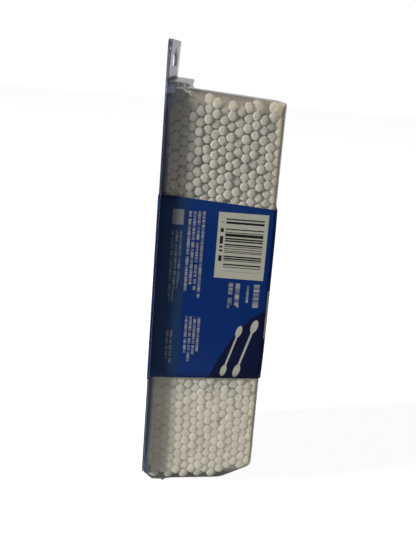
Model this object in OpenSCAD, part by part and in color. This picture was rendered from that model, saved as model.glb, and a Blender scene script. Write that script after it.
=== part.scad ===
// Cotton swab tub: a thermoformed clear tub filled with paper-stick swabs,
// closed by a flat back panel with a hanging header and held by a wrap label.
// +X points to the front of the pack, +Z up, and the swabs lie along Y.
// The origin is the centre of the hang slot, on the back face of the panel.

/* [Tub] */
// Depth from the mouth to the front wall
tub_depth = 63.6; // [55:0.2:75]
// Width across the mouth
tub_width = 80; // [79:0.5:90]
// Height of the back edge of the top wall above the base
tub_height = 230; // [190:1:260]
// Thickness of the formed sheet
tub_wall = 0.5; // [0.3:0.1:0.8]
// Fall of the top wall towards the front, in degrees
top_draft = 4; // [0:0.5:6]
// Rise of the base towards the front, in degrees
base_draft = 5.9; // [0:0.1:7]
// Lean of each side wall, in degrees
side_draft = 0.8; // [0:0.1:1]
// Depth of the raised shoulder behind the top wall
shoulder_depth = 12; // [8:0.5:16]
// Height of the shoulder above the top wall
shoulder_rise = 3.7; // [2:0.1:6]
// Step between the shoulder's foot and the base
base_step = 1.1; // [0.4:0.1:2]
// Height of the mouth's lower edge above the base
heel_height = 4; // [3:0.5:6]
// Distance from the mouth to the foot of the heel
heel_depth = 5; // [4:0.5:8]
// Distance from the mouth to the start of the sloping toe
toe_start = 46; // [40:1:50]
// Slope of the toe, in degrees
toe_slope = 28; // [20:1:32]
// Radius of the upright front corners
front_radius = 3.5; // [2:0.5:6]
// Radius of the long edges between the side walls and the top, base and toe
edge_radius = 3; // [1.5:0.5:3]

/* [Flange and header] */
// Width of the flange beside each side wall
flange_width = 4; // [3:0.5:6]
// Radius of the flange's lower corners
flange_radius = 8; // [4:0.5:12]
// Thickness of the back panel
panel_sheet = 0.5; // [0.3:0.1:0.8]
// Height of the header above the shoulder
header_rise = 21; // [20:0.5:30]
// Radius of the header's upper corners
header_radius = 4; // [2:0.5:8]
// Forward lean of the tub's own header sheet, in degrees
header_lean = 2.5; // [0:0.5:4]

/* [Hang slot] */
// Overall width of the slot
slot_width = 32; // [26:1:36]
// Height of the slot's two arms
slot_height = 7; // [6:0.5:8]
// Radius of the round peak in the middle
slot_peak_radius = 5; // [4:0.5:6]
// Distance from the top of the header to the arms' centre line
slot_drop = 11; // [10:0.5:12]

/* [Wrap label] */
// Height of the label's lower edge at the flange
label_low = 66.5; // [50:0.5:80]
// Height of the label at the flange
label_height = 107; // [80:1:130]
// Distance that each edge of the label closes in towards the front
label_taper = 4; // [0:0.5:6]
// Thickness of the label stock
label_stock = 0.35; // [0.2:0.05:0.5]
// Clearance between the label and the tub
label_gap = 0.1; // [0.05:0.05:0.4]

/* [Swabs] */
// Clearance between a swab's ends and the side walls at the front
end_gap = 0.5; // [0.3:0.1:2]
// Diameter of a cotton tip
tip_diameter = 4.5; // [4:0.05:4.55]
// Length of a cotton tip
tip_length = 14; // [10:0.5:18]
// Diameter of the paper stick
stick_diameter = 2.4; // [2:0.1:2.8]
// Upright columns of swabs from the back to the front
columns = 15; // [13:1:15]
// Swabs in the tallest columns
rows = 43; // [30:1:43]
// Sideways wander of the columns
wander = 0.55; // [0:0.05:0.6]

/* [Hidden] */
// Clearance between the outer swabs and the sheet round them
swab_gap = 0.2;
// Reach of the cutting shapes past the faces that they cut
past = 3;
// Radii of the tub's edges, seen from the side
heel_radius = 3;
step_radius = 0.9;
// How far the arcs of the long edges pass the walls that they join
edge_crossing = 0.03;
toe_radius = 18;
front_low_radius = 4;
front_top_radius = 2.5;
// Radius of the label's folds beside the flange
fold_radius = 0.3;
// Flat pieces in one rounded corner
arc_steps = 6;
// Height of one wave of the columns' wander
wander_height = 76;
// Columns whose top swab is missing, so that the top row is uneven
short_columns = [0, 3, 4, 7, 9, 12, 14];
// Proportions of a cotton tip: its neck on the stick, its belly and its rounded end
neck_radius = stick_diameter / 2 + 0.1;
belly_radius = tip_diameter * 0.46;
neck_length = tip_length * 0.2;
end_radius = tip_diameter * 0.34;
$fn = 48;

mouth_x = panel_sheet + tub_wall;
front_x = mouth_x + tub_depth;
shoulder_top = tub_height + shoulder_rise;
header_top = shoulder_top + header_rise;
slot_z = header_top - slot_drop;
flange_y = tub_width / 2 + flange_width;
tip_radius = tip_diameter / 2;
first_x = panel_sheet + swab_gap + tip_radius;
last_x = front_x - tub_wall - swab_gap - tip_radius;
column_pitch = (last_x - first_x) / (columns - 1);
swab_length = tub_width - 2 * (tan(side_draft) * tub_depth + tub_wall + end_gap);

function two_digits(n) = n < 10 ? str("0", n) : str(n);

// Outlines are lists of [x, y, corner radius], counter-clockwise.
function unit(v) = v / norm(v);
function left_of(v) = [-v.y, v.x];
function turned(v, angle) = [v.x * cos(angle) - v.y * sin(angle), v.x * sin(angle) + v.y * cos(angle)];
function point(p) = [p[0], p[1]];
function before(outline, i) = point(outline[(i + len(outline) - 1) % len(outline)]);
function after(outline, i) = point(outline[(i + 1) % len(outline)]);

// Arc that rounds the corner at here, from its first tangent point to its last
function corner_arc(back, here, ahead, radius) =
    let (
        way_in = unit(here - back),
        way_out = unit(ahead - here),
        turn = atan2(cross(way_in, way_out), way_in * way_out),
        side = turn < 0 ? -1 : 1,
        reach = radius * tan(abs(turn) / 2),
        start = here - reach * way_in,
        centre = start + side * radius * left_of(way_in)
    )
    radius <= 0 ? [here] : [for (k = [0:arc_steps]) centre + turned(start - centre, turn * k / arc_steps)];

function rounded(outline) = [
    for (i = [0:len(outline) - 1])
        each corner_arc(before(outline, i), point(outline[i]), after(outline, i), outline[i][2])
];

// The outline with every side moved inward, and its radii changed to suit
function inset(outline, distance) = [
    for (i = [0:len(outline) - 1])
        let (
            here = point(outline[i]),
            way_in = unit(here - before(outline, i)),
            way_out = unit(after(outline, i) - here),
            side = cross(way_in, way_out) < 0 ? -1 : 1,
            moved = here + distance * (left_of(way_in) + left_of(way_out)) / (1 + way_in * way_out)
        )
        [moved.x, moved.y, max(0, outline[i][2] - side * distance)]
];

// Heights of the tub's top wall and base at a distance from its mouth
function top_z(d) = tub_height - tan(top_draft) * d;
function base_z(d) = base_step + tan(base_draft) * (d - shoulder_depth);
toe_top = base_z(toe_start) + tan(toe_slope) * (tub_depth - toe_start);
step_run = base_step * 1.2;

// Side view of the tub, in X and Z, open past the mouth
tub_side = [
    [mouth_x - past, heel_height, 0],
    [mouth_x, heel_height, step_radius],
    [mouth_x + heel_depth, 0, heel_radius],
    [mouth_x + shoulder_depth, 0, step_radius],
    [mouth_x + shoulder_depth + step_run, base_z(shoulder_depth + step_run), step_radius],
    [mouth_x + toe_start, base_z(toe_start), toe_radius],
    [front_x, toe_top, front_low_radius],
    [front_x, top_z(tub_depth), front_top_radius],
    [mouth_x + shoulder_depth, top_z(shoulder_depth), step_radius],
    [mouth_x + shoulder_depth - tub_wall, top_z(shoulder_depth) + shoulder_rise, step_radius],
    [mouth_x, shoulder_top, 0],
    [mouth_x - past, shoulder_top, 0],
];

// Plan of the tub, in X and Y
front_y = tub_width / 2 - tan(side_draft) * tub_depth;
back_y = tub_width / 2 + tan(side_draft) * past;
tub_plan = [
    [mouth_x - past, -back_y, 0],
    [front_x, -front_y, front_radius],
    [front_x, front_y, front_radius],
    [mouth_x - past, back_y, 0],
];

// Everything is drawn upwards from the base and then hung from the slot
module hung() {
    translate([0, 0, -slot_z]) children();
}

// A shape drawn in X and Z, made width wide along Y
module across(outline, width) {
    rotate([90, 0, 0]) linear_extrude(width, center = true) polygon(rounded(outline));
}

// A shape drawn in Y and Z, made thickness deep along X
module upright(thickness) {
    rotate([90, 0, 90]) linear_extrude(thickness) children();
}

// Straight stretches of the side view whose edges along the side walls are rounded, from back to front,
// with 1 for a wall above the swabs and -1 for one below them
step_end = shoulder_depth + step_run + step_radius;
top_start = shoulder_depth + step_radius;
long_edges = [
    [[mouth_x - past, shoulder_top], [mouth_x + shoulder_depth, top_z(shoulder_depth) + shoulder_rise], 1],
    [[mouth_x + top_start, top_z(top_start)], [front_x, top_z(tub_depth)], 1],
    [[mouth_x, heel_height], [mouth_x + heel_depth, 0], -1],
    [[mouth_x + heel_depth, 0], [mouth_x + shoulder_depth, 0], -1],
    [[mouth_x + step_end, base_z(step_end)], [mouth_x + toe_start, base_z(toe_start)], -1],
    [[mouth_x + toe_start, base_z(toe_start)], [front_x, toe_top], -1],
];

// What the rounding of one long edge takes off a block whose walls are moved inward by distance.
// Its arc crosses both walls a little outside them, so that no two faces only touch, and the inner
// block's cut starts further back than the outer one's, so that the wall is closed where they start.
module edge_cut(edge, side, distance) {
    run = edge[1] - edge[0];
    sunk = edge_radius - edge_crossing;
    reach = sunk + past;
    early = 2 * distance;
    start_y = side * (tub_width / 2 - tan(side_draft) * (edge[0].x - mouth_x));
    translate([edge[0].x, start_y, edge[0].y])
        rotate([0, 0, -side * side_draft]) rotate([0, -atan2(run.y, run.x), 0]) rotate([90, 0, 90])
            translate([-side * sunk, -edge[2] * sunk, -early])
                linear_extrude(early + norm(run) + past) difference() {
                    translate([side, edge[2]] * reach / 2) square(reach, center = true);
                    circle(edge_radius - distance);
                }
}

// The tub's walls moved inward by distance, as one solid block
module tub_block(distance) {
    intersection() {
        across(inset(tub_side, distance), tub_width + 2 * past);
        linear_extrude(2 * header_top, center = true) polygon(rounded(inset(tub_plan, distance)));
    }
}

// The same block with its long edges rounded
module soft_block(distance) {
    difference() {
        tub_block(distance);
        for (edge = long_edges, side = [-1, 1]) edge_cut(edge, side, distance);
    }
}

// Euro slot with two arms and a round peak, about its own centre
module slot_shape() {
    arm = slot_height / 2;
    reach = slot_width / 2 - arm;
    square([2 * reach, slot_height], center = true);
    for (side = [-1, 1]) translate([side * reach, 0]) circle(arm);
    translate([0, slot_peak_radius - arm]) circle(slot_peak_radius);
}

// Front view of the flange and header, from the heel to the top
flange_outline = [
    [-flange_y, heel_height, flange_radius],
    [flange_y, heel_height, flange_radius],
    [flange_y, header_top, header_radius],
    [-flange_y, header_top, header_radius],
];

// Side view of the flange and header, one sheet that bends forward just above the shoulder
lean = tan(header_lean);
bend_z = shoulder_top + tub_wall;
top_x = lean * (header_top + past - bend_z);
sheet_side = [
    [panel_sheet, heel_height - past, 0],
    [mouth_x, heel_height - past, 0],
    [mouth_x, bend_z, 0],
    [mouth_x + top_x, header_top + past, 0],
    [panel_sheet + top_x, header_top + past, 0],
    [panel_sheet, bend_z, 0],
];

// Front view of the sheets behind the tub's walls, with the hang slot through the header
module header_shape() {
    difference() {
        polygon(rounded(flange_outline));
        translate([0, slot_z]) slot_shape();
    }
}

module tub() {
    color([0.82, 0.85, 0.88, 0.35]) hung() difference() {
        union() {
            intersection() {
                soft_block(0);
                translate([panel_sheet, -tub_width, 0]) cube([2 * tub_depth, 2 * tub_width, 2 * tub_height]);
            }
            intersection() {
                across(sheet_side, 2 * tub_width);
                upright(mouth_x + past) header_shape();
            }
        }
        soft_block(tub_wall);
    }
}

module back_panel() {
    color([0.07, 0.1, 0.24]) hung() upright(panel_sheet) header_shape();
}

// Plan of the label's inner face: round the tub, along the flange and across the panel
label_x = mouth_x + label_gap;
label_y = tub_width / 2 + label_gap;
label_plan = [
    [-label_gap, -flange_y - label_gap, 0],
    [label_x, -flange_y - label_gap, 0],
    [label_x, -label_y, fold_radius],
    [front_x + label_gap, -front_y - label_gap, front_radius + label_gap],
    [front_x + label_gap, front_y + label_gap, front_radius + label_gap],
    [label_x, label_y, fold_radius],
    [label_x, flange_y + label_gap, 0],
    [-label_gap, flange_y + label_gap, 0],
];

// Side view of the label, which narrows towards the front as the tub does
label_side = [
    [-past, label_low, 0],
    [mouth_x, label_low, 0],
    [front_x + past, label_low + label_taper, 0],
    [front_x + past, label_low + label_height - label_taper, 0],
    [mouth_x, label_low + label_height, 0],
    [-past, label_low + label_height, 0],
];

module wrap_label() {
    color([0.05, 0.16, 0.45]) hung() intersection() {
        across(label_side, 2 * tub_width);
        linear_extrude(header_top) difference() {
            polygon(rounded(inset(label_plan, -label_stock)));
            polygon(rounded(label_plan));
        }
    }
}

// Lowest height of a swab's axis above a straight floor at x
function above(x, low_x, low_z, slope) =
    low_z + tan(slope) * (x - low_x) + (tip_radius + tub_wall + swab_gap) / cos(slope);

// Rows fan out from the base to the top wall, and every second column sits half a row higher
function row_start(x) = above(x, mouth_x, base_z(0), base_draft);
function row_end(x) = top_z(x - mouth_x) - (tip_radius + tub_wall + swab_gap) / cos(top_draft);
function row_pitch(x) = (row_end(x) - row_start(x)) / (rows - 1);
function toe_limit(x) = above(x, mouth_x + toe_start, base_z(toe_start), toe_slope);
function heel_limit(x) =
    above(x, mouth_x, heel_height, -atan2(heel_height, heel_depth));
function is_short(c) = len(search(c, short_columns)) > 0;

// Axes of the swabs in one column, as [x, z]
function swab_axes(c) =
    let (
        x = first_x + column_pitch * c,
        raised = c % 2 == 0 ? 0.5 : 0,
        count = rows - (raised > 0 ? 1 : 0) - (is_short(c) ? 1 : 0),
        free = sin(180 * c / (columns - 1))
    )
    [
        for (r = [0:count - 1])
            let (
                z = row_start(x) + row_pitch(x) * (r + raised),
                sway = wander * free * sin(360 * z / wander_height)
            )
            if (z > max(toe_limit(x), heel_limit(x))) [x + sway, z]
    ];

// Half of a cotton tip's section: neck, belly and rounded end, with the end at the far side
end_steps = 3;
tip_section = concat(
    [[0, 0], [neck_radius, 0], [belly_radius, neck_length], [tip_radius, 2 * neck_length]],
    [
        for (k = [0:end_steps])
            let (angle = 90 * k / end_steps)
            [tip_radius - end_radius * (1 - cos(angle)), tip_length - end_radius * (1 - sin(angle))]
    ],
    [[0, tip_length]]
);

module cotton_tip() {
    rotate_extrude() polygon(tip_section);
}

module cotton_tips(c) {
    color([0.93, 0.92, 0.89]) hung() for (axis = swab_axes(c)) translate([axis[0], 0, axis[1]])
        for (side = [-1, 1]) rotate([-side * 90, 0, 0])
            translate([0, 0, swab_length / 2 - tip_length]) cotton_tip();
}

module swab_sticks(c) {
    color([0.96, 0.95, 0.92]) hung() for (axis = swab_axes(c)) translate([axis[0], 0, axis[1]])
        rotate([90, 0, 0]) cylinder(h = swab_length - 2 * tip_length, d = stick_diameter, center = true);
}

tub();
back_panel();
wrap_label();
for (c = [0:columns - 1]) {
    cotton_tips(c);
    swab_sticks(c);
}
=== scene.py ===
"""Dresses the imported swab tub: clear tub, dark back panel, printed band, cotton tips and paper sticks."""

import math
from functools import reduce

import bpy
import numpy as np
from bpy.props import FloatProperty, FloatVectorProperty, IntProperty, PointerProperty
from mathutils import Matrix, Quaternion, Vector


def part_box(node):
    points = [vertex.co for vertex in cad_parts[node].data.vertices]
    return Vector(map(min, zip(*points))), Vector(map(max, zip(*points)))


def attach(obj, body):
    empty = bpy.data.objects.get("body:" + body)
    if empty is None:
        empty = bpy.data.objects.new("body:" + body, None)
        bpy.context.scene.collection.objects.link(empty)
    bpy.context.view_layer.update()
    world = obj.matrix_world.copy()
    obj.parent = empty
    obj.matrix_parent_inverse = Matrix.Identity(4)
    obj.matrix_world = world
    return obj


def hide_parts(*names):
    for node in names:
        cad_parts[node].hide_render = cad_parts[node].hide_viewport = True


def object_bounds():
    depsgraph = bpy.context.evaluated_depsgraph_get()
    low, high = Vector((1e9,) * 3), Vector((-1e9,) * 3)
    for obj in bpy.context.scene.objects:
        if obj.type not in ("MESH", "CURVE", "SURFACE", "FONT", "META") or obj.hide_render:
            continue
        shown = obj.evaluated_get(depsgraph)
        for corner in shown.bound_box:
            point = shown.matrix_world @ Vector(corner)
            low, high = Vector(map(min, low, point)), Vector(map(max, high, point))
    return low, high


bl_info = {
    "name": "Cotton swab tub",
    "version": (1, 0, 0),
    "blender": (4, 5, 0),
    "location": "3D View > Sidebar > Swab tub",
    "description": "Builds the looks of a clear tub of cotton swabs round its packed solids",
    "category": "Object",
}

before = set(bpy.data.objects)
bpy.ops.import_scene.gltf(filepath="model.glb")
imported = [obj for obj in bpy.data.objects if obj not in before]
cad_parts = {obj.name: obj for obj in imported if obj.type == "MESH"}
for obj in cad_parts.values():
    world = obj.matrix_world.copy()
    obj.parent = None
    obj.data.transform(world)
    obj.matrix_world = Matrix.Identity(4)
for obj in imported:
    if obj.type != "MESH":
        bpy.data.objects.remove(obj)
CAD_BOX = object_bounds()

MM = 0.001
BODY = "root"
TIP_NODES = sorted(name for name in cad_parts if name.startswith("cotton_tips_"))
STICK_NODES = sorted(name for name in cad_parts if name.startswith("swab_sticks_"))
TUB_LOW, TUB_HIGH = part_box("tub")
PANEL_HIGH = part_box("back_panel")[1]
BAND_LOW, BAND_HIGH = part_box("wrap_label")
TIP_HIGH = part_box(TIP_NODES[-1])[1]
STICK_LOW, STICK_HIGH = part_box(STICK_NODES[0])


def operator(operation, swapped=False):
    """A method of Shade that adds a Math node for itself and another value, or for the two swapped."""

    def method(self, other):
        return self.maths(operation, *((other, self) if swapped else (self, other)))

    return method


class Shade:
    """A shader value in Python expressions. Each operator adds a Math node."""

    __add__ = operator("ADD")
    __radd__ = operator("ADD", swapped=True)
    __sub__ = operator("SUBTRACT")
    __rsub__ = operator("SUBTRACT", swapped=True)
    __mul__ = operator("MULTIPLY")
    __rmul__ = operator("MULTIPLY", swapped=True)
    __truediv__ = operator("DIVIDE")
    __pow__ = operator("POWER")
    __lt__ = operator("LESS_THAN")
    __gt__ = operator("GREATER_THAN")
    __or__ = operator("MAXIMUM")
    least = operator("MINIMUM")

    def __init__(self, paint, socket):
        self.paint = paint
        self.socket = socket

    def maths(self, operation, *values):
        return self.paint.node("Math", {"operation": operation}, dict(enumerate(values)))

    def __abs__(self):
        return self.maths("ABSOLUTE", self)

    def floor(self):
        return self.maths("FLOOR", self)

    def fraction(self):
        return self.maths("FRACT", self)

    def clear(self, edge, blur):
        """0 below edge and 1 above it, through a smooth step that is blur wide."""
        ramp = {"interpolation_type": "SMOOTHSTEP"}
        limits = {"Value": self, "From Min": edge - blur / 2, "From Max": edge + blur / 2}
        return self.paint.node("MapRange", ramp, limits)


class Paint:
    """The nodes of one material, or of the world."""

    def __init__(self, name, kind="materials"):
        self.owner = getattr(bpy.data, kind).new(name)
        self.owner.use_nodes = True
        self.tree = self.owner.node_tree
        self.tree.nodes.clear()

    def node(self, kind, settings=None, sockets=None, output=0):
        """Adds a node of that kind, with its settings first, then the values or links of its sockets."""
        made = self.tree.nodes.new("ShaderNode" + kind)
        for name, value in (settings or {}).items():
            setattr(made, name, value)
        for name, value in (sockets or {}).items():
            if isinstance(value, Shade):
                self.tree.links.new(value.socket, made.inputs[name])
            else:
                made.inputs[name].default_value = value
        return Shade(self, made.outputs[output])

    def place(self):
        """The point on the piece, in metres in the row frame."""
        return self.node("TexCoord", output="Object")

    def part(self, vector, axis):
        return self.node("SeparateXYZ", None, {0: vector}, axis)

    def vector(self, operation, first, second=(0, 0, 0)):
        return self.node("VectorMath", {"operation": operation}, {0: first, 1: second})

    def normal(self):
        return self.node("NewGeometry", output="Normal")

    def millimetres(self):
        """X, Y and the height above the tub's base of the point on the piece, in millimetres."""
        scaled = self.node("VectorMath", {"operation": "SCALE"}, {0: self.place(), "Scale": 1 / MM})
        x, y, z = (self.part(scaled, axis) for axis in range(3))
        return x, y, z - CAD_BOX[0].z / MM

    def noise(self, per_metre, detail, stretch=(1, 1, 1)):
        """Soft noise from 0 to 1, with its coordinates stretched along each axis."""
        at = self.vector("MULTIPLY", self.place(), stretch)
        return self.node("TexNoise", None, {"Vector": at, "Scale": per_metre, "Detail": detail})

    def colour(self, share, low, high):
        """A colour that goes from low to high as share goes from 0 to 1, by a Mix node's colour sockets."""
        low, high = (end if isinstance(end, Shade) else rgba(end) for end in (low, high))
        return self.node("Mix", {"data_type": "RGBA"}, {0: share, 6: low, 7: high}, 2)

    def layers(self, shade, *films):
        """A colour under films laid one over the other, each given by its share and its colour."""
        for share, film in films:
            shade = self.colour(share, shade, film)
        return shade

    def bump(self, height, distance, strength, normal=None):
        """A normal bent by a height from 0 to 1, which stands for that distance."""
        sockets = {"Height": height, "Distance": distance, "Strength": strength}
        if normal is not None:
            sockets["Normal"] = normal
        return self.node("Bump", None, sockets)

    def mix(self, share, first, second):
        """The first shader, going over to the second as share goes from 0 to 1."""
        return self.node("MixShader", None, {0: share, 1: first, 2: second})

    def chance(self, value):
        """A number from 0 to 1 that changes with each whole step of the value."""
        return self.node("TexWhiteNoise", {"noise_dimensions": "1D"}, {"W": value.floor()})

    def ray(self, kind):
        return self.node("LightPath", output=kind)

    def seen(self):
        """1 where the camera, a gloss or a clear wall looks, and 0 for the light on the object."""
        return self.ray("Is Camera Ray") | self.ray("Is Glossy Ray") | self.ray("Is Transmission Ray")

    def finish(self, look):
        """The material, from the values and links of a Principled shader's sockets."""
        return self.done(self.node("BsdfPrincipled", None, look))

    def done(self, shader, output="ShaderNodeOutputMaterial"):
        end = self.tree.nodes.new(output)
        self.tree.links.new(shader.socket, end.inputs["Surface"])
        return self.owner


def inside(u, v, left, right, low, high, blur=0.3):
    """1 inside a box of two coordinates and 0 outside it, with soft edges."""
    across = u.clear(left, blur) * (1 - u.clear(right, blur))
    return across * v.clear(low, blur) * (1 - v.clear(high, blur))


def rgba(colour):
    return (*colour, 1.0)


def put(name, data):
    """Puts a new object with this data into the scene."""
    made = bpy.data.objects.new(name, data)
    bpy.context.scene.collection.objects.link(made)
    return made


def piece(name, points, faces, materials):
    """Makes one smooth mesh object at the origin from an array of points and a list of the faces' corners."""
    mesh = bpy.data.meshes.new(name)
    mesh.from_pydata(points.reshape(-1, 3).tolist(), [], faces, shade_flat=False)
    mesh.update()
    for material in materials:
        mesh.materials.append(material)
    made = put(name, mesh)
    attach(made, BODY)
    return made


def ring(count):
    """Angles of that many points round a circle."""
    return np.linspace(0, 2 * np.pi, count, endpoint=False)


def grid_faces(rows, columns, wrap):
    """Corner numbers of the quads of a grid of points, closed round its columns if wrap is set."""
    across = np.arange(columns if wrap else columns - 1)
    row, column = np.meshgrid(np.arange(rows - 1), across, indexing="ij")
    ahead = (column + 1) % columns
    here, above = row * columns, (row + 1) * columns
    quads = np.stack([here + column, here + ahead, above + ahead, above + column], -1)
    return quads.reshape(-1, 4)


def repeated(parts, count, each):
    """Faces of a shape's copies, from arrays of its faces' corners. Each copy has that many points."""
    start = np.arange(count)[:, None, None] * each
    return [face for part in parts for face in (part + start).reshape(-1, part.shape[-1]).tolist()]


def distances(line):
    """Distance of each point along a line from its first point."""
    return np.concatenate([[0], np.cumsum(np.hypot(*np.diff(line, axis=0).T))])


def rounded(corners):
    """An open line through corners given as x, z and radius, with each corner turned through an arc.

    The arc touches both straight stretches: it starts before the corner by the radius times the tangent of
    half the turn."""
    places, radii = corners[:, :2], corners[:, 2]
    share = np.linspace(0, 1, 7)
    parts = [places[:1]]
    for before, here, after, radius in zip(places, places[1:], places[2:], radii[1:]):
        way_in = (here - before) / np.hypot(*(here - before))
        way_out = (after - here) / np.hypot(*(after - here))
        turn = math.atan2(way_in[0] * way_out[1] - way_in[1] * way_out[0], way_in @ way_out)
        hand = math.copysign(1.0, turn)
        start = here - radius * math.tan(abs(turn) / 2) * way_in
        centre = start + hand * radius * np.array([-way_in[1], way_in[0]])
        angle = math.atan2(way_in[1], way_in[0]) - hand * math.pi / 2 + turn * share
        parts.append(centre + radius * np.stack([np.cos(angle), np.sin(angle)], -1))
    return np.concatenate([*parts, places[-1:]])


def swab_axes(node):
    """X and Z of each stick of a column. Its points, sorted by height, are cut wherever they leave a gap."""
    least_gap = 1.2 * MM
    flat = np.empty(len(node.data.vertices) * 3, np.float32)
    node.data.vertices.foreach_get("co", flat)
    corners = flat.reshape(-1, 3).astype(float)
    corners = corners[np.argsort(corners[:, 2])]
    cuts = np.flatnonzero(np.diff(corners[:, 2]) > least_gap) + 1
    return np.array([(part.min(0) + part.max(0)) / 2 for part in np.split(corners, cuts)])[:, [0, 2]]


def below_band(z):
    """1 below the band, going over to 0 within a hem above its lower edge."""
    hem = 4 * MM
    return np.clip((BAND_LOW.z + hem - z) / hem, 0, 1)


def swab_ends(scene):
    """X and Z of every swab's left and right end, its column, and its depth below the column's top swab.

    Each end strays from the axis, more so below the band, and a few loose swabs stray further. Those under
    the shoulder keep their place, and the others lie forward, more so the further ahead they are. The upper
    swabs lean: the left end of a column's top swab lies just under the top wall, and both ends go back to
    the axis by a share that dies away with the depth."""
    props = scene.swabtub_cotton
    shoulder, reach = 12 * MM, 46 * MM
    columns = [swab_axes(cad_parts[name]) for name in STICK_NODES]
    axes = np.concatenate(columns)
    owner = np.repeat(np.arange(len(columns)), [len(column) for column in columns])
    top = np.array([column[:, 1].max() for column in columns])[owner]
    depth = top - axes[:, 1]
    room = TUB_HIGH.z - props.under - math.tan(scene.swabtub_tub.fall) * axes[:, 0] - top
    room = np.clip(room, 0, props.rise) * (axes[:, 0] > shoulder)
    fade = np.exp(-depth / props.lean_depth)
    slack = np.random.default_rng(props.seed + 1).uniform(0, 1, len(axes)) < props.loose
    stray = props.stray * (1 + props.tumble * below_band(axes[:, 1]) + props.slack * slack)
    ends = axes + stray[:, None] * np.random.default_rng(props.seed).uniform(-1, 1, (2, len(axes), 2))
    ends[:, :, 0] += props.forward * np.clip((axes[:, 0] - shoulder) / reach, 0, 1)
    ends[0, :, 1] += room * fade
    ends[1, :, 1] -= props.lean * fade
    return ends, owner, depth


def colour_of(name, about, colour):
    return FloatVectorProperty(name=name, description=about, subtype="COLOR", default=colour)


def length_of(name, about, millimetres):
    return FloatProperty(name=name, description=about, subtype="DISTANCE", default=millimetres * MM)


def angle_of(name, about, degrees):
    return FloatProperty(name=name, description=about, subtype="ANGLE", default=math.radians(degrees))


def number_of(name, about, number, **limits):
    return FloatProperty(name=name, description=about, default=number, **limits)


def share_of(name, about, share):
    return number_of(name, about, share, min=0, max=1)


class StageSettings(bpy.types.PropertyGroup):
    floor: colour_of("Floor", "Colour of the floor that lights the object", (0.64, 0.64, 0.64))
    key: number_of("Key", "Power of the key lamp in watts", 64.0)
    key_size: length_of("Key size", "Width of the key lamp", 300)
    fill: number_of("Fill", "Strength of the world's light on the object", 0.045)
    low: number_of("Low", "Power of the low lamp in watts", 0.015)
    low_size: length_of("Low size", "Width of the low lamp", 40)
    glow: number_of("Glow", "Strength of the floor's own white", 0.94)


class TubSettings(bpy.types.PropertyGroup):
    tint: colour_of("Tint", "Colour of the clear sheet's haze", (0.55, 0.54, 0.51))
    milk: colour_of("Milk", "Haze below the band", (0.85, 0.82, 0.70))
    # Painted shade: a dark film along the base's edge stands in for the shade under the lowest tips.
    painted_base_shade: colour_of("Dirt", "Dark of the base's edge", (0.03, 0.032, 0.04))
    # Cream haze, partly painted light: over the front corners it also brightens the right columns of tips as
    # light would.
    cream_haze_and_light: colour_of("Cream", "Haze over the front corners", (0.90, 0.79, 0.60))
    stain: colour_of("Stain", "Haze of the top wall", (0.56, 0.51, 0.42))
    # Haze beside the panel, tinted blue as a painted reflection of the navy panel on the shaded left columns.
    shade: colour_of("Shade", "Haze beside the panel", (0.25, 0.28, 0.44))
    nook: colour_of("Nook", "Haze between shoulder and panel", (0.60, 0.66, 1.0))
    clear: colour_of("Clear", "Share of light that passes one face", (0.86, 0.86, 0.855))
    mirror: colour_of("Mirror", "Colour of the sheet's reflections", (0.54, 0.54, 0.56))
    haze: share_of("Haze", "Share of the surface that hides what is behind it", 0.08)
    roughness: share_of("Roughness", "Roughness of the clear sheet", 0.16)
    shoulder: length_of("Shoulder", "Depth of the raised shoulder", 12)
    rise: length_of("Rise", "Height of the shoulder over the top wall", 3.7)
    header: length_of("Header", "Height of the header", 21)
    flange: length_of("Flange", "Width of the flange beside the walls", 4)
    wall: length_of("Wall", "Thickness of the sheet", 0.5)
    seam: length_of("Seam", "Gap between the header and the panel", 0.08)
    undercut: length_of("Undercut", "How far the shoulder overhangs", 2.0)
    edge: length_of("Edge", "Radius of the long edges", 3)
    draft: angle_of("Draft", "Lean of each side wall", 0.8)
    fall: angle_of("Fall", "Slope of the top wall", 4)
    climb: angle_of("Climb", "Slope of the base", 5.9)
    toe: angle_of("Toe", "Slope of the toe", 28)
    lean: angle_of("Lean", "Forward lean of the header", 2.5)
    warp: length_of("Warp", "How far the top wall has twisted at each side", 1.4)


class PanelSettings(bpy.types.PropertyGroup):
    tint: colour_of("Tint", "Colour of the back panel", (0.015, 0.025, 0.078))
    # Painted light: the panel's front behind the header gets no light from the key lamp, and this lighter
    # colour stands in for it.
    tab: colour_of("Tab", "Lighter front of the panel at the header", (0.54, 0.56, 0.72))
    roughness: share_of("Roughness", "Roughness of the back panel", 0.22)


class BandSettings(bpy.types.PropertyGroup):
    ground: colour_of("Ground", "Blue of the printed band", (0.0014, 0.0225, 0.140))
    navy: colour_of("Navy", "Dark blue of the printed sweep", (0.003, 0.006, 0.034))
    ink: colour_of("Ink", "White of the print", (0.46, 0.455, 0.38))
    # Cream card edge with a painted highlight: the lighter colour stands in for light on the front fold,
    # which the key lamp does not reach.
    margin: colour_of("Margin", "Cream beside the front fold", (0.88, 0.82, 0.68))
    # Painted glare: the lighter blue of the hems and soft patches stands in for light glancing off the band.
    painted_glare: colour_of("Faded", "Lighter blue of the band's hems", (0.015, 0.042, 0.165))
    # Painted reflection: the greyer blue beside the flange stands in for a sheen of reflected light in the
    # flange's shadow.
    painted_reflection: colour_of("Veil", "Greyer blue beside the flange", (0.013, 0.034, 0.096))
    black: colour_of("Black", "Black of the bars", (0.012, 0.012, 0.014))
    corner: length_of("Corner", "Radius of the band at the front corners", 2.2)
    taper: length_of("Taper", "Slant of each edge of the band from the flange to the front", 4)
    stock: length_of("Stock", "Thickness of the band", 0.3)
    bow: length_of("Bow", "How far the band stands off the front wall", 0.8)


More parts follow.
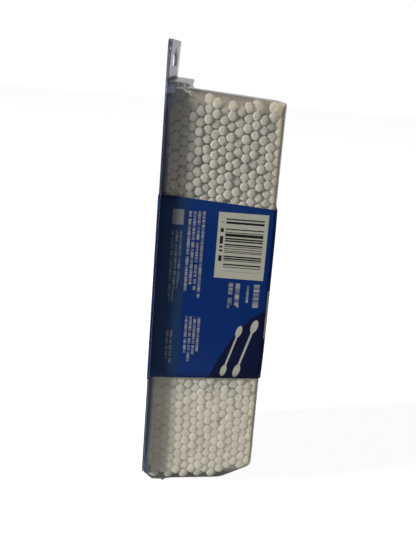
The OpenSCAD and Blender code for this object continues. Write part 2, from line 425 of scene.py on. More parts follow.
class CottonSettings(bpy.types.PropertyGroup):
    cotton: colour_of("Cotton", "Colour of the cotton", (0.84, 0.80, 0.68))
    radius: length_of("Radius", "Radius of a loose cotton tip", 2.7)
    lean: length_of("Lean", "Fall of the top swabs' right ends", 5)
    under: length_of("Under", "Depth of the top swabs' left ends below the header's top", 27.1)
    rise: length_of("Rise", "Greatest rise of a top swab's left end", 1.1)
    inset: length_of("Inset", "Depth of the foremost cotton behind the front", 1.5)
    clearance: length_of("Clearance", "Gap between the panel and the cotton", 0.3)
    forward: length_of("Forward", "How far the front swabs lie nearer the front", 0.8)
    swell: length_of("Swell", "Added radius of the top tips", 0.45)
    tumble: number_of("Tumble", "Added share of straying below the band", 0.4)
    lean_depth: length_of("Lean depth", "Depth over which the lean dies away", 16)
    press: number_of("Press", "Share of the half distance to a neighbour that a tip fills", 1.10)
    neck: length_of("Neck", "Radius of a tip where it meets its stick", 1.3)
    length: length_of("Length", "Length of a cotton tip", 14)
    dome: length_of("Dome", "Depth of a tip's rounded end", 1.1)
    soft: share_of("Soft", "Share of the light that spreads inside the cotton", 0.5)
    bend: share_of("Bend", "Share of a tip's roundness that the light sees", 0.4)
    scatter: length_of("Scatter", "How far light spreads in cotton", 1.2)
    stray: length_of("Stray", "How far a swab's end strays from its axis", 0.2)
    loose: share_of("Loose", "Share of the swabs that lie loose", 0.06)
    slack: number_of("Slack", "Added share of straying of a loose swab", 6.0)
    seed: IntProperty(name="Seed", description="Seed of the tips' differences", default=7)


class StickSettings(bpy.types.PropertyGroup):
    paper: colour_of("Paper", "Colour of the sticks", (0.64, 0.57, 0.47))
    seat: length_of("Seat", "How far a stick reaches into its tips", 2)


class SWABTUB_OT_stage(bpy.types.Operator):
    """Makes the floor, the lamps, the world and the camera"""

    bl_idname = "swabtub.stage"
    bl_label = "Stage"

    def execute(self, context):
        props = context.scene.swabtub_stage
        self.floor(props)
        self.world(context.scene, props)
        # The key lamp is on the left, behind the panel's plane, and the low one beside the left wall's foot.
        self.lamp("key", props.key, props.key_size, at=(-1.87, -0.68, 0.45), towards=(0, 0, 0))
        self.lamp("low", props.low, props.low_size, at=(0.03, -0.20, -0.215), towards=(0.03, 0, -0.215))
        self.camera(context.scene)
        context.scene.view_settings.view_transform = "Standard"
        return {"FINISHED"}

    def floor(self, props):
        """A square under the tub's lowest point. Where it is seen, it glows nearly white, with its shadow."""
        half, height = 4.0, CAD_BOX[0].z
        corners = [(-half, -half, height), (half, -half, height), (half, half, height), (-half, half, height)]
        mesh = bpy.data.meshes.new("floor")
        mesh.from_pydata(corners, [], [(0, 1, 2, 3)])
        paint = Paint("floor")
        matt = paint.node("BsdfDiffuse", None, {"Color": rgba(props.floor)})
        dull = paint.node("BsdfDiffuse", None, {"Color": (0.5, 0.5, 0.5, 1)})
        glow = paint.node("Emission", None, {"Strength": props.glow})
        lit = paint.node("AddShader", None, {0: dull, 1: glow})
        mesh.materials.append(paint.done(paint.mix(paint.seen(), matt, lit)))
        put("floor", mesh)

    def world(self, scene, props):
        """White where it is seen, and the fill's strength as light on everything else."""
        paint = Paint("studio", "worlds")
        strength = props.fill + paint.seen() * (1 - props.fill)
        sky = paint.node("Background", None, {"Color": (1, 1, 1, 1), "Strength": strength})
        scene.world = paint.done(sky, "ShaderNodeOutputWorld")

    def lamp(self, name, power, size, at, towards):
        light = bpy.data.lights.new(name, "AREA")
        light.energy = power
        light.shape = "DISK"
        light.size = size
        lamp = put(name, light)
        lamp.location = at
        lamp.rotation_euler = (Vector(towards) - Vector(at)).to_track_quat("-Z", "Y").to_euler()

    def camera(self, scene):
        """The photograph's camera, found by fitting the pack's edges.

        Its turn is a vector along the axis, as long as the angle. Unturned, it looks along Y with Z up."""
        place, turn = (0.030069, -0.471031, 0.004701), Vector((0.271, 0.080, -0.011))
        focal_pixels, photo_height = 800.841, 555
        right, ahead, up = Quaternion(turn.normalized(), turn.length).to_matrix()
        camera = put("camera", bpy.data.cameras.new("camera"))
        camera.data.lens = focal_pixels * camera.data.sensor_width / photo_height
        camera.data.clip_start = 0.01
        turned = Matrix((right, up, -ahead)).transposed().to_4x4()
        camera.matrix_world = Matrix.Translation(place) @ turned
        scene.camera = camera


class SWABTUB_OT_tub(bpy.types.Operator):
    """Makes the clear tub"""

    bl_idname = "swabtub.tub"
    bl_label = "Clear tub"

    def execute(self, context):
        props = context.scene.swabtub_tub
        strips = (self.flange(props, side) for side in (-1, 1))
        points, faces = zip(self.walls(props), self.header(props), *strips)
        first = np.cumsum([0, *map(len, points)])
        faces = np.concatenate([part + start for part, start in zip(faces, first)])
        tub = piece("clear_tub", np.concatenate(points), faces.tolist(), [self.sheet(props)])
        sheet = tub.modifiers.new("sheet", "SOLIDIFY")
        sheet.thickness = props.wall
        sheet.offset = -1
        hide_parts("tub")
        return {"FINISHED"}

    def side_view(self, props):
        """The tub's line seen from the side, from the mouth's upper edge round the front to its lower edge.

        Each corner is its distance ahead of the mouth, its height above the base and its radius."""
        depth = TUB_HIGH.x - TUB_LOW.x - props.wall
        shoulder_top = TUB_HIGH.z - TUB_LOW.z - props.header
        fall, climb = math.tan(props.fall), math.tan(props.climb)
        top = shoulder_top - props.rise
        base = 1.1 * MM
        toe_start = 46 * MM
        toe_low = base + climb * (toe_start - props.shoulder)
        step = props.shoulder + 1.32 * MM
        tight = 0.9 * MM
        return np.array([
            (0, shoulder_top, 0),
            (props.shoulder - props.wall, top + props.rise - fall * props.shoulder, tight),
            (props.shoulder - props.undercut, top - fall * props.shoulder, tight),
            (depth, top - fall * depth, 1.6 * MM),
            (depth, toe_low + math.tan(props.toe) * (depth - toe_start), 4 * MM),
            (toe_start, toe_low, 18 * MM),
            (step, base + climb * (step - props.shoulder), tight),
            (props.shoulder, 0, tight),
            (5 * MM, 0, 3.2 * MM),
            (0, 4 * MM, 0),
        ])

    def walls(self, props):
        """The formed walls: the side view carried across the width.

        Each point of the side view starts a row of points that runs level to the edge, turns down through a
        quarter circle to the side wall, and crosses the side wall to the mouth. The quarter circle is half as
        wide at the foot and shrinks near tight corners. The top wall is twisted, up on the left side."""
        spacing, least_spacing = 2.5 * MM, 0.02 * MM
        foot = 30 * MM
        warp_depth, warp_start = 14 * MM, 1.5 * MM
        corners = self.side_view(props)
        line = rounded(corners)
        run = distances(line)
        dense = np.union1d(run, np.arange(0, run[-1], spacing))
        dense = dense[np.diff(dense, prepend=-1) > least_spacing]
        x, z = (np.interp(dense, run, line[:, axis]) for axis in range(2))
        ahead = np.gradient(np.stack([x, z]), dense, axis=1)
        normal = np.stack([-ahead[1], ahead[0]]) / np.hypot(*ahead)
        turned = corners[corners[:, 2] > 0]
        away = np.hypot(x[:, None] - turned[:, 0], z[:, None] - turned[:, 1])
        widest = props.edge * np.where(z < foot, 0.5, 1)
        radius = np.minimum(widest, (0.5 * turned[:, 2] + 0.4 * away).min(1))[:, None]
        half = TUB_HIGH.y - props.flange
        level = np.linspace(0, 1, 12, endpoint=False)
        turn = np.radians(np.linspace(0, 90, 7))
        share = np.linspace(0, 1, 12)[1:]
        flat_x, flat_z = (np.repeat(axis[:, None], len(level), 1) for axis in (x, z))
        draft = math.tan(props.draft)
        flat_y = level * (half - draft * flat_x - radius)
        arc_x = x[:, None] - radius * (1 - np.cos(turn)) * normal[0][:, None]
        arc_z = z[:, None] - radius * (1 - np.cos(turn)) * normal[1][:, None]
        arc_y = half - draft * arc_x - radius * (1 - np.sin(turn))
        mouth = np.interp(dense, dense[[0, -1]], arc_z[[0, -1], -1])[:, None]
        wall_x = arc_x[:, -1:] * (1 - share)
        wall_z = arc_z[:, -1:] * (1 - share) + mouth * share
        wall_y = half - draft * wall_x
        stretches = [flat_x, arc_x, wall_x], [flat_y, arc_y, wall_y], [flat_z, arc_z, wall_z]
        right = np.stack([np.hstack(stretch) for stretch in stretches], -1)
        points = np.concatenate([right[:, :0:-1] * (1, -1, 1), right], 1)
        past_shoulder = points[..., 0] - corners[2, 0]
        under = corners[2, 1] - math.tan(props.fall) * past_shoulder - points[..., 2]
        near_top = np.clip(1 - under / warp_depth, 0, 1) * np.clip(1 + under / props.rise, 0, 1)
        near_top = near_top * np.clip(past_shoulder / warp_start, 0, 1)
        points[..., 2] -= props.warp * near_top * points[..., 1] / half
        points += (TUB_LOW.x + props.wall / 2, 0, TUB_LOW.z)
        return points.reshape(-1, 3), grid_faces(*points.shape[:2], False)[:, ::-1]

    def header(self, props):
        """The header sheet between the hang slot and its outline, both as distances from the slot's centre.

        The slot is a bar with round ends and a round peak, and its distance is the larger of the two. A point
        lies in the direction of its angle, and the sheet leans forward above its bend. Numbers are in mm."""
        half, above, below, radius, bend = 44, 11, 10, 4, -9.5
        bar_height, bar_length, peak_radius, peak_rise = 3.5, 12.5, 5, 1.5
        foot = np.arctan2([-below, -below], [-half, half]) % (2 * np.pi)
        angle = np.unique(np.concatenate([ring(120), foot]))
        cosine, sine = np.abs(np.cos(angle)), np.sin(angle)
        size = np.maximum(np.abs(sine), 1e-6)
        level = bar_height / size
        past = np.sqrt(np.maximum(bar_height**2 - (bar_length * sine) ** 2, 0))
        bar = np.where(level * cosine <= bar_length, level, bar_length * cosine + past)
        peak = peak_rise * sine + np.sqrt(peak_radius**2 - (peak_rise * cosine) ** 2)
        slot = np.maximum(bar, peak)
        plain = np.minimum(half / np.maximum(cosine, 1e-6), np.where(sine > 0, above, below) / size)
        corner_y, corner_z = half - radius, above - radius
        across = corner_y * sine - corner_z * cosine
        corner = corner_y * cosine + corner_z * sine + np.sqrt(np.maximum(radius**2 - across**2, 0))
        in_corner = (plain * cosine > corner_y) & (plain * sine > corner_z)
        outer = np.where(in_corner, corner, plain)
        share = np.linspace(0, 1, 5)[:, None]
        reach = (slot + (outer - slot) * share) * MM
        y, z = reach * np.cos(angle), reach * np.sin(angle)
        above_bend = np.maximum(z - bend * MM, 0)
        x = TUB_LOW.x + props.wall + props.seam + math.tan(props.lean) * above_bend
        points = np.stack([x, y, z], -1)
        return points.reshape(-1, 3), grid_faces(*points.shape[:2], True)[:, ::-1]

    def flange(self, props, side):
        """One side strip of the flange, from the wall out to its edge, which curves in at the foot."""
        radius, low, curve_top = 8 * MM, 5.2 * MM, 12 * MM
        high = TUB_HIGH.z - TUB_LOW.z - props.header
        z = np.concatenate([np.linspace(low, curve_top, 7), np.linspace(curve_top, high, 40)[1:]])
        drop = np.clip(curve_top - z, 0, radius)
        outer = TUB_HIGH.y - radius + np.sqrt(radius**2 - drop**2)
        inner = TUB_HIGH.y - props.flange
        share = np.linspace(0, 1, 4)
        y = side * (inner + (np.maximum(outer, inner + 0.05 * MM) - inner)[:, None] * share)
        x = np.full_like(y, TUB_LOW.x + props.wall + props.seam)
        points = np.stack([x, y, np.broadcast_to(z[:, None] + TUB_LOW.z, y.shape)], -1)
        return points.reshape(-1, 3), grid_faces(*points.shape[:2], False)[:, ::side]

    def sheet(self, props):
        """Clear sheet under films of haze, with a gloss that grows as the surface turns away. Some films
        carry painted shade or painted light, as marked below.

        Each mask is named for its place on the tub. Its first number is where it starts or ends, in mm ahead
        of the mouth, to the right or above the base, and the second is how wide its soft edge is."""
        paint = Paint("clear_sheet")
        x, y, base = paint.millimetres()
        over_base = base - (x | 0.0) * 0.1
        level = abs(paint.part(paint.normal(), 2))
        ahead = abs(paint.part(paint.normal(), 0)).clear(0.7, 0.4)
        streaks = paint.noise(40, 3, (1, 1, 0.25))
        facing = paint.node("LayerWeight", None, {"Blend": 0.5}, "Facing")
        low = 1 - base.clear(62.0, 16.0)
        # The fold's haze beside the panel carries the blue painted reflection of the navy panel.
        fold = (1 - x.clear(3.2, 2.4)) * x.clear(0.9, 0.2) * (1 - base.clear(226.0, 4.0))
        tab = (1 - x.clear(9.0, 2.0)) * base.clear(222.0, 6.0)
        lip = base.clear(251.6, 1.2)
        # The crown's veil on the top wall is partly painted light: it lightens the far tips that lie in
        # shade.
        crown = level.clear(0.6, 0.5) * base.clear(200.0, 20.0) * x.clear(11.0, 2.0)
        # Painted shade: this mask lays a dark film along the base's edge, under the lowest tips.
        edge = level.clear(0.35, 0.4) * (1 - over_base.clear(7.0, 2.0))
        # Front haze, partly painted light that brightens the right columns of tips.
        front = x.clear(60.0, 8.0)
        lit = 0.4 + x.clear(14.0, 6.0) * 0.6
        foot = over_base.clear(5.0, 5.0)
        far = y.clear(30.0, 4.0) * base.clear(214.0, 10.0) * x.clear(10.0, 2.0)
        brim = (1 - (227.5 - x * 0.07 - base).clear(3.0, 3.0)) * x.clear(12.0, 3.0) * (1 - crown)
        block = (1 - x.clear(12.6, 0.8)) * x.clear(6.5, 2.0) * base.clear(226.0, 3.0)
        nook = inside(x, base, 0.7, 5.3, 227.4, 232.6, 0.8)

        share = props.haze + facing ** 3 * 0.30 + streaks * 0.05 + low * lit * 0.10
        share = share * (0.2 + foot * 0.8) + fold * 0.5
        creased = crown * (0.15 + facing ** 2) * (0.7 + 0.25 * streaks.clear(0.52, 0.2))
        share = share + edge * 0.9 + creased + tab * 0.1 + lip * 0.35
        share = share + front * (0.20 - low * 0.15) * (1 - ahead * 0.8)
        share = share + far * (0.3 + 0.3 * streaks) + brim * (0.05 + 0.2 * streaks)
        share = share + block * 0.08 + nook * 0.32

        tint = paint.layers(
            paint.colour(low, props.tint, props.milk),
            # Haze of the top wall, which over the crown is partly painted light on the far tips in shade.
            ((crown + far * 0.5 + block).least(1.0), props.stain),
            # Cream haze, partly painted light on the right columns and over the crown.
            ((front + brim * 0.7 + crown * x.clear(52.0, 16.0)).least(1.0), props.cream_haze_and_light),
            # Haze beside the panel, tinted as a painted reflection of the navy panel.
            ((fold + tab * (1 - block)).least(1.0), props.shade),
            (nook, props.nook),
            # Painted shade along the base's edge.
            (edge, props.painted_base_shade),
        )

        look = {"Base Color": tint, "Roughness": 0.4, "Specular IOR Level": 0.1}
        film = paint.node("BsdfPrincipled", None, look)
        look = {"Roughness": props.roughness, "Color": rgba(props.mirror)}
        gloss = paint.node("BsdfGlossy", None, look)
        clear = paint.node("BsdfTransparent", None, {"Color": rgba(props.clear)})
        shine = 0.03 + facing ** 5 * 0.6
        sheet = paint.mix(shine, paint.mix(share.least(1.0), clear, film), gloss)
        lamps = paint.node("BsdfTransparent", None, {"Color": (0.98, 0.98, 0.98, 1)})
        return paint.done(paint.mix(paint.ray("Is Shadow Ray"), sheet, lamps))


class SWABTUB_OT_back_panel(bpy.types.Operator):
    """Gives the dark back panel its finish"""

    bl_idname = "swabtub.back_panel"
    bl_label = "Back panel"

    def execute(self, context):
        props = context.scene.swabtub_panel
        paint = Paint("panel_sheet")
        mottle = paint.noise(60, 3)
        shade = paint.colour(mottle, props.tint, [1.5 * c for c in props.tint])
        x, _, base = paint.millimetres()
        # Painted light: the panel's front behind the header is lightened to stand in for light the key lamp
        # does not give it.
        painted_light_behind_header = x.clear(PANEL_HIGH.x / MM - 0.1, 0.05) * base.clear(222.0, 5.0)
        shade = paint.colour(painted_light_behind_header, shade, props.tab)
        rough = props.roughness + mottle * 0.1
        look = {"Base Color": shade, "Roughness": rough, "Specular IOR Level": 0.25}
        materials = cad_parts["back_panel"].data.materials
        materials.clear()
        materials.append(paint.finish(look))
        return {"FINISHED"}


class SWABTUB_OT_band(bpy.types.Operator):
    """Makes the printed band round the tub's middle"""

    bl_idname = "swabtub.band"
    bl_label = "Printed band"

    def execute(self, context):
        props, tub = context.scene.swabtub_band, context.scene.swabtub_tub
        path, forward = self.path(props, tub)
        rows = np.linspace(0, 1, 25)
        low = BAND_LOW.z + props.taper * forward
        high = BAND_HIGH.z - props.taper * forward
        height = low + (high - low) * rows[:, None]
        # The band bows off the middle of the front wall, and lies on it at its edges and corners.
        across = np.clip(1 - np.abs(path[:, 1] / BAND_HIGH.y) ** 4, 0, 1)
        on_front = np.clip((forward - 0.9) / 0.1, 0, 1)
        swell = props.bow * across * on_front * (1 - np.abs(2 * rows[:, None] - 1) ** 5)
        points = np.stack([path[:, 0] + swell, np.broadcast_to(path[:, 1], swell.shape), height], -1)
        faces = grid_faces(len(rows), len(path), True).tolist()
        ends = self.lengths(tub, path)
        band = piece("printed_band", points, faces, [self.print(props, *ends), self.card()])
        self.unroll(band, path, height)
        solid = band.modifiers.new("stock", "SOLIDIFY")
        solid.thickness = props.stock
        solid.offset = 0
        solid.material_offset_rim = 1
        solid.material_offset = 1
        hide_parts("wrap_label")
        return {"FINISHED"}

    def path(self, props, tub):
        """Plan of the band, and how far forward each point lies, from 0 at the flange to 1 at the front.

        It runs across the panel's back, round each edge of the flange, in along the flange's front and out
        along the drafted walls to the rounded front corners."""
        gap, notch = 0.1 * MM, 0.3 * MM
        half_stock = props.stock / 2
        back = BAND_LOW.x + half_stock
        edge = BAND_HIGH.y - half_stock
        mouth = PANEL_HIGH.x + tub.wall + half_stock + gap
        side = BAND_HIGH.y - tub.flange
        front = BAND_HIGH.x - half_stock
        tip_side = side - math.tan(tub.draft) * (front - mouth)
        centre = np.array([front - props.corner, tip_side - props.corner])
        turn = np.radians(np.linspace(0, 90, 9))
        corner = centre + props.corner * np.stack([np.cos(turn), np.sin(turn)], -1)
        half = np.concatenate([
            np.linspace((front, 0), corner[0], 12, endpoint=False),
            corner,
            np.linspace(corner[-1], (mouth + notch, side), 24, endpoint=False)[1:],
            np.linspace((mouth, side + notch), (mouth, edge), 3, endpoint=False),
            np.linspace((back, edge), (back, 0), 16, endpoint=False),
        ])
        whole = np.concatenate([half, half[-2:0:-1] * (1, -1)])
        return whole, np.clip((whole[:, 0] - mouth) / (front - mouth), 0, 1)

    def lengths(self, tub, path):
        """Millimetres along the band from the front's middle to the front's end, and to the flange."""
        run = distances(path) / MM
        behind_front = path[:, 0] < BAND_HIGH.x - 0.5 * MM
        on_flange = path[:, 0] < PANEL_HIGH.x + tub.wall + MM
        return float(run[np.argmax(behind_front)]), float(run[np.argmax(on_flange)])

    def unroll(self, band, path, height):
        """Gives each face's corners their distance along the band, negative on the left, and their height.

        The faces that join both ends at the back go on from the right end's distance."""
        run = distances(np.concatenate([path, path[:1]]))
        signed = np.where(path[:, 1] < -1e-6, run[:-1] - run[-1], run[:-1])
        flat = np.stack([np.broadcast_to(signed, height.shape), height - CAD_BOX[0].z], -1).reshape(-1, 2)
        corner = np.empty(len(band.data.loops), np.int32)
        band.data.loops.foreach_get("vertex_index", corner)
        place = flat[corner].reshape(-1, 4, 2)
        joining = np.ptp(place[..., 0], 1)[:, None] > run[-1] / 2
        place[..., 0] += run[-1] * (joining & (place[..., 0] < 0))
        band.data.uv_layers.new(name="print").data.foreach_set("uv", place.ravel())

    def print(self, props, front_end, flange_start):
        """Blue ground with lighter hems and patches of painted glare, a navy sweep, white bars, plain swabs
        and rows of dashes.

        The print's own coordinates are run, the distance along the band from the middle of the front, x, the
        distance ahead of the flange, and z, the height above the base, in millimetres. A box is given by its
        left and right, then its low and high edge."""
        paint = Paint("printed_card")
        run, z = self.place(paint)
        x = flange_start - abs(run)
        left = run < 0
        side = (abs(run) > front_end) * (x > 0)
        fold = abs(run) - front_end
        square = inside(x, z, 6.8, 13.0, 157.5, 166.0, 0.8) * left
        # Painted reflection: greyer blue beside the flange, in its shadow.
        painted_reflection = (1 - x.clear(15.5, 2.0)) * x.clear(0.0, 0.5)
        # Cream edge beside the front fold, lightened as a painted highlight.
        margin = inside(fold, z, -1.7, 0.9, 95.0, 123.0, 0.5) * left
        panel = inside(x, z, 32.0, 59.5, 129.0, 166.3) * left
        shade = paint.layers(
            # Painted glare on the hems and in soft patches.
            paint.colour(self.glare(paint, z), props.ground, props.painted_glare),
            (painted_reflection, props.painted_reflection),
            (self.sweep(run, z), props.navy),
            ((self.words(paint, x, z) * side * 0.62).least(1.0), props.ink),
            (self.swabs(run, z), props.ink),
            (square * 0.4, props.ink),
            (margin, props.margin),
            (panel, props.ink),
            (self.bars(paint, x, z) * left, props.black),
        )
        relief = paint.bump(paint.noise(700, 3), 0.02 * MM, 0.3)
        look = {"Base Color": shade, "Roughness": 0.45, "Specular IOR Level": 0.05, "Normal": relief}
        return paint.finish(look)

    def place(self, paint):
        """Run and height on the band in millimetres, from its own UV map."""
        at = paint.node("UVMap", {"uv_map": "print"})
        return [paint.part(at, axis) * (1 / MM) for axis in range(2)]

    def glare(self, paint, z):
        """Share of painted glare: a lighter hem along both edges and soft patches, where the blue is
        lightened as if light glanced off it.
        """
        hem = 1 - z.clear(68.0, 0.5) * (1 - z.clear(171.8, 0.5))
        soft = 1 - z.clear(80.0, 28.0) * (1 - z.clear(162.0, 24.0))
        return (hem * 0.45 + soft * 0.4 + paint.noise(45, 2) * 0.2).least(1.0)

    def sweep(self, run, z):
        """Navy below a level line across the front, which falls in a curve along both sides."""
        level, flat_end, bend = 112.0, 35.0, 0.038
        past = (abs(run) - flat_end) | 0.0
        return 1 - (z + past * past * bend).clear(level, 0.5)

    def bars(self, paint, x, z):
        """Black bars of uneven width across the white panel, with a row of small marks beside them.

        Each step of the height is black or not by chance, with fine and coarse steps weighed together."""
        thick = (paint.chance(z / 0.42) * 0.62 + paint.chance(z / 1.3) * 0.38) > 0.47
        bars = thick * inside(x, z, 36.4, 57.4, 133.0, 163.0, 0.2)
        marks = (paint.chance(z / 1.1) > 0.35) * inside(x, z, 33.6, 35.4, 135.0, 161.0, 0.2)
        return bars | marks

    def words(self, paint, x, z):
        """Rows of dashes: each block has its box, its number of rows and its strength."""
        blocks = (
            ((15.2, 25.3, 113.0, 166.0), 4, 1.0),
            ((6.5, 13.2, 113.0, 154.5), 3, 0.45),
            ((17.3, 26.8, 76.0, 105.0), 4, 1.0),
            ((7.0, 11.5, 76.0, 96.0), 2, 0.45),
            ((40.0, 47.8, 109.5, 126.5), 2, 1.3),
            ((54.0, 59.0, 113.0, 126.5), 1, 1.6),
            ((50.6, 52.6, 115.5, 125.5), 1, 1.2),
        )
        return reduce(Shade.__or__, [self.rows(paint, x, z, *block) for block in blocks])

    def rows(self, paint, x, z, box, rows, strength):
        """One block of dashes that run along the height, each row ending at a height of its own.

        A row is cut into words by chance, and the strokes of a word differ in strength."""
        left, right, low, high = box
        pitch = (right - left) / rows
        place = (x - left) / pitch
        ragged = paint.chance(place + high) * (high - low) * 0.3 * (rows > 1)
        across = abs(place.fraction() - 0.5)
        stroke = 1 - across.clear(0.31, 0.16)
        stretch = 4.2 * pitch / 2.5
        word = (paint.chance(z / stretch + place.floor() * 17.0) * 0.7 + (z / stretch).fraction()) > 0.32
        letter = 0.2 + 0.8 * paint.chance(z / (0.24 * pitch) + place.floor() * 31.0)
        return stroke * word * letter * inside(x, z, *box) * (z > low + ragged) * strength

    def swabs(self, run, z):
        """Plain swabs drawn in white, each given by its middle, its tilt in degrees and its length."""
        drawn = (
            (-57.0, 86.0, 16.0, 30.0),
            (-49.0, 88.0, 16.0, 34.0),
            (57.0, 86.0, -16.0, 30.0),
            (49.0, 88.0, -16.0, 34.0),
            (-14.0, 130.0, 10.0, 58.0),
            (0.0, 130.0, 10.0, 58.0),
            (14.0, 130.0, 10.0, 58.0),
        )
        return reduce(Shade.__or__, [self.swab(run, z, *one) for one in drawn])

    def swab(self, run, z, centre, middle, tilt, length):
        """A thin stick with a long round tip at both ends."""
        cosine, sine = math.cos(math.radians(tilt)), math.sin(math.radians(tilt))
        along = abs((run - centre) * sine + (z - middle) * cosine)
        across = abs((run - centre) * cosine - (z - middle) * sine)
        stick = (1 - across.clear(length * 0.018, 0.2)) * (1 - along.clear(length * 0.4, 0.3))
        reach = ((along - length * 0.42) / (length * 0.12)) ** 2.0 + (across / (length * 0.055)) ** 2.0
        return stick | (1 - reach.clear(1.0, 0.25))

    def card(self):
        paint = Paint("card_edge")
        fibres = paint.noise(900, 3)
        shade = paint.colour(fibres, (0.55, 0.55, 0.52), (0.75, 0.75, 0.72))
        return paint.finish({"Base Color": shade, "Roughness": 0.8})


class SWABTUB_OT_cotton(bpy.types.Operator):
    """Makes the cotton tips of every column of swabs"""

    bl_idname = "swabtub.cotton"
    bl_label = "Cotton tips"

    AROUND = 12

    def execute(self, context):
        props = context.scene.swabtub_cotton
        draft = context.scene.swabtub_tub.draft
        chance = np.random.default_rng(props.seed)
        ends, owner, depth = swab_ends(context.scene)
        cotton = self.cotton(props)
        sides = [self.tips(props, draft, chance, *end, depth) for end in zip((-1, 1), ends)]
        for column, name in enumerate(TIP_NODES):
            chosen = owner == column
            points = np.concatenate([points[chosen] for points, tone in sides])
            tones = np.concatenate([tone[chosen] for points, tone in sides])
            each = points.shape[1]
            faces = repeated(self.faces(each // self.AROUND), len(points), each)
            made = piece(name.replace("cotton_tips", "cotton"), points, faces, [cotton])
            shade = made.data.attributes.new("tone", "FLOAT", "POINT")
            shade.data.foreach_set("value", np.repeat(tones, each))
            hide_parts(name)
        return {"FINISHED"}

    def tips(self, props, draft, chance, side, centre, below):
        """Points of all tips on one side of the pack, and a tone from 0 to 1 for each.

        A tip is a profile turned about its axis: a rounded end, a straight body and a neck. Round the axis
        its radius is the loose radius held back by each near neighbour, through a sum of inverse powers of
        the loose radius and of the distance to the plane half way to that neighbour."""
        neighbours, power, least_facing = 7, 14.0, 0.3
        swell_depth, tilt = 3 * MM, 0.25 * MM
        count = len(centre)
        swell = props.swell * (np.exp(-below / swell_depth) + 0.4 * below_band(centre[:, 1]))
        loose = props.radius * chance.uniform(0.95, 1.05, count) + swell
        apart = centre[None] - centre[:, None]
        distance = np.hypot(apart[..., 0], apart[..., 1])
        np.fill_diagonal(distance, 1.0)
        near = np.argsort(distance, 1)[:, :neighbours]
        gap = np.take_along_axis(distance, near, 1)
        heading = np.take_along_axis(np.arctan2(apart[..., 1], apart[..., 0]), near, 1)
        angle = ring(self.AROUND)
        towards = np.cos(angle[None, :, None] - heading[:, None, :])
        half_way = props.press * gap[:, None, :] / 2 / np.maximum(towards, least_facing)
        limit = np.where(towards > least_facing, half_way, 1.0)
        radius = (loose[:, None] ** -power + (limit**-power).sum(2)) ** (-1 / power)
        end = TIP_HIGH.y + chance.uniform(-0.4, 0.5, count) * MM + draft * (TIP_HIGH.x - centre[:, 0])
        bulge = props.dome * chance.uniform(0.8, 1.15, count)[:, None]
        share = np.array([0.0, 0.58, 0.88, 1.0, 1.0, 0.0])
        round_end = bulge * [0.0, 0.13, 0.45, 1.1]
        depth = np.hstack([round_end, np.full((count, 2), props.length) * [0.55, 1.0]])
        spread = share[None, :, None] * radius[:, None, :]
        spread[:, -1] = props.neck
        lean = chance.uniform(-1, 1, (count, 2)) * tilt
        out = 1 - depth / props.length
        x, z = (
            centre[:, None, None, axis] + spread * turn + lean[:, axis, None, None] * out[..., None]
            for axis, turn in enumerate((np.cos(angle), np.sin(angle)))
        )
        x = np.clip(x, PANEL_HIGH.x + props.clearance, TUB_HIGH.x - props.inset)
        y = np.broadcast_to(side * (end[:, None] - depth)[..., None], x.shape)
        points = np.stack([x, y, z], -1)
        if side > 0:
            points = points[:, :, ::-1]
        return points.reshape(count, -1, 3), chance.uniform(0, 1, count)

    def faces(self, rings):
        """Corner numbers of one tip: quads between its rings, and its inner end closed by one face."""
        quads = grid_faces(rings, self.AROUND, True)
        inner = (rings - 1) * self.AROUND + np.arange(self.AROUND)
        return [quads, inner[None]]

    def cotton(self, props):
        paint = Paint("cotton")
        tone = paint.node("Attribute", {"attribute_name": "tone"}, None, "Fac")
        fluff = paint.noise(1400, 4)
        dim = [0.86 * c for c in props.cotton]
        shade = paint.colour((tone * 0.6 + fluff * 0.5).least(1.0), dim, props.cotton)
        fibres = paint.noise(900, 4) + paint.noise(350, 2) * 1.5
        flatter = paint.vector("MULTIPLY", paint.normal(), (props.bend, 1, props.bend))
        level = paint.vector("NORMALIZE", flatter)
        return paint.finish({
            "Base Color": shade,
            "Roughness": 0.95,
            "Normal": paint.bump(fibres, 0.25 * MM, 0.8, level),
            "Specular IOR Level": 0.1,
            "Subsurface Weight": props.soft,
            "Subsurface Radius": (1.0, 0.95, 0.85),
            "Subsurface Scale": props.scatter,
        })


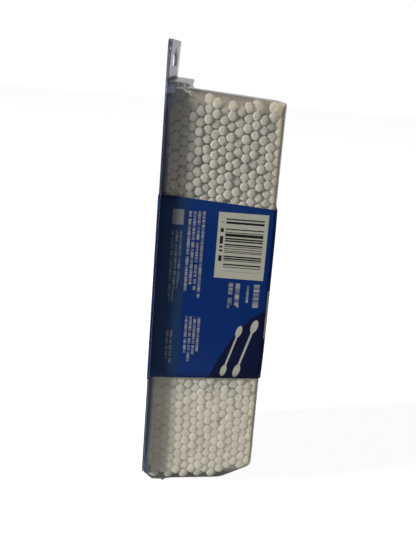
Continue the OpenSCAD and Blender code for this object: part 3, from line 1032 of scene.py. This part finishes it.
class SWABTUB_OT_sticks(bpy.types.Operator):
    """Makes the paper sticks of every column of swabs"""

    bl_idname = "swabtub.sticks"
    bl_label = "Paper sticks"

    AROUND = 8

    def execute(self, context):
        props = context.scene.swabtub_sticks
        paint = Paint("stick_paper")
        grain = paint.noise(500, 4, (4, 0.4, 4))
        shade = paint.colour(grain, [0.82 * c for c in props.paper], props.paper)
        relief = paint.bump(grain, 0.1 * MM, 0.5)
        material = paint.finish({"Base Color": shade, "Roughness": 0.7, "Normal": relief})
        ends, owner, _ = swab_ends(context.scene)
        angle = ring(self.AROUND)
        radius = (STICK_HIGH.x - STICK_LOW.x) / 2
        ring_x = ends[..., :1] + radius * np.cos(angle)
        ring_z = ends[..., 1:] + radius * np.sin(angle)
        reach = STICK_HIGH.y + props.seat
        ring_y = np.broadcast_to(np.array([-reach, reach])[:, None, None], ring_x.shape)
        sticks = np.stack([ring_x, ring_y, ring_z], -1).transpose(1, 0, 2, 3)
        walls = grid_faces(2, self.AROUND, True)
        caps = np.stack([np.arange(self.AROUND)[::-1], np.arange(self.AROUND) + self.AROUND])
        for column, name in enumerate(STICK_NODES):
            points = sticks[owner == column]
            faces = repeated([walls, caps], len(points), 2 * self.AROUND)
            made = piece(name.replace("swab_sticks", "sticks"), points, faces, [material])
            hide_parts(name)
        return {"FINISHED"}


class SWABTUB_PT_pieces(bpy.types.Panel):
    """Lists the steps that build the pack"""

    bl_idname = "SWABTUB_PT_pieces"
    bl_label = "Swab tub"
    bl_space_type = "VIEW_3D"
    bl_region_type = "UI"
    bl_category = "Swab tub"

    def draw(self, context):
        for step in STEPS:
            self.layout.operator(step.bl_idname)


SETTINGS = {
    "swabtub_stage": StageSettings,
    "swabtub_tub": TubSettings,
    "swabtub_panel": PanelSettings,
    "swabtub_band": BandSettings,
    "swabtub_cotton": CottonSettings,
    "swabtub_sticks": StickSettings,
}
STEPS = (
    SWABTUB_OT_stage,
    SWABTUB_OT_sticks,
    SWABTUB_OT_cotton,
    SWABTUB_OT_back_panel,
    SWABTUB_OT_tub,
    SWABTUB_OT_band,
)


def register():
    for cls in (*SETTINGS.values(), *STEPS, SWABTUB_PT_pieces):
        bpy.utils.register_class(cls)
    for name, cls in SETTINGS.items():
        setattr(bpy.types.Scene, name, PointerProperty(type=cls))


def unregister():
    for name in SETTINGS:
        delattr(bpy.types.Scene, name)
    for cls in (SWABTUB_PT_pieces, *reversed(STEPS), *reversed(SETTINGS.values())):
        bpy.utils.unregister_class(cls)


def main():
    register()
    for step in STEPS:
        group, name = step.bl_idname.split(".")
        getattr(getattr(bpy.ops, group), name)()


if __name__ == "__main__":
    main()
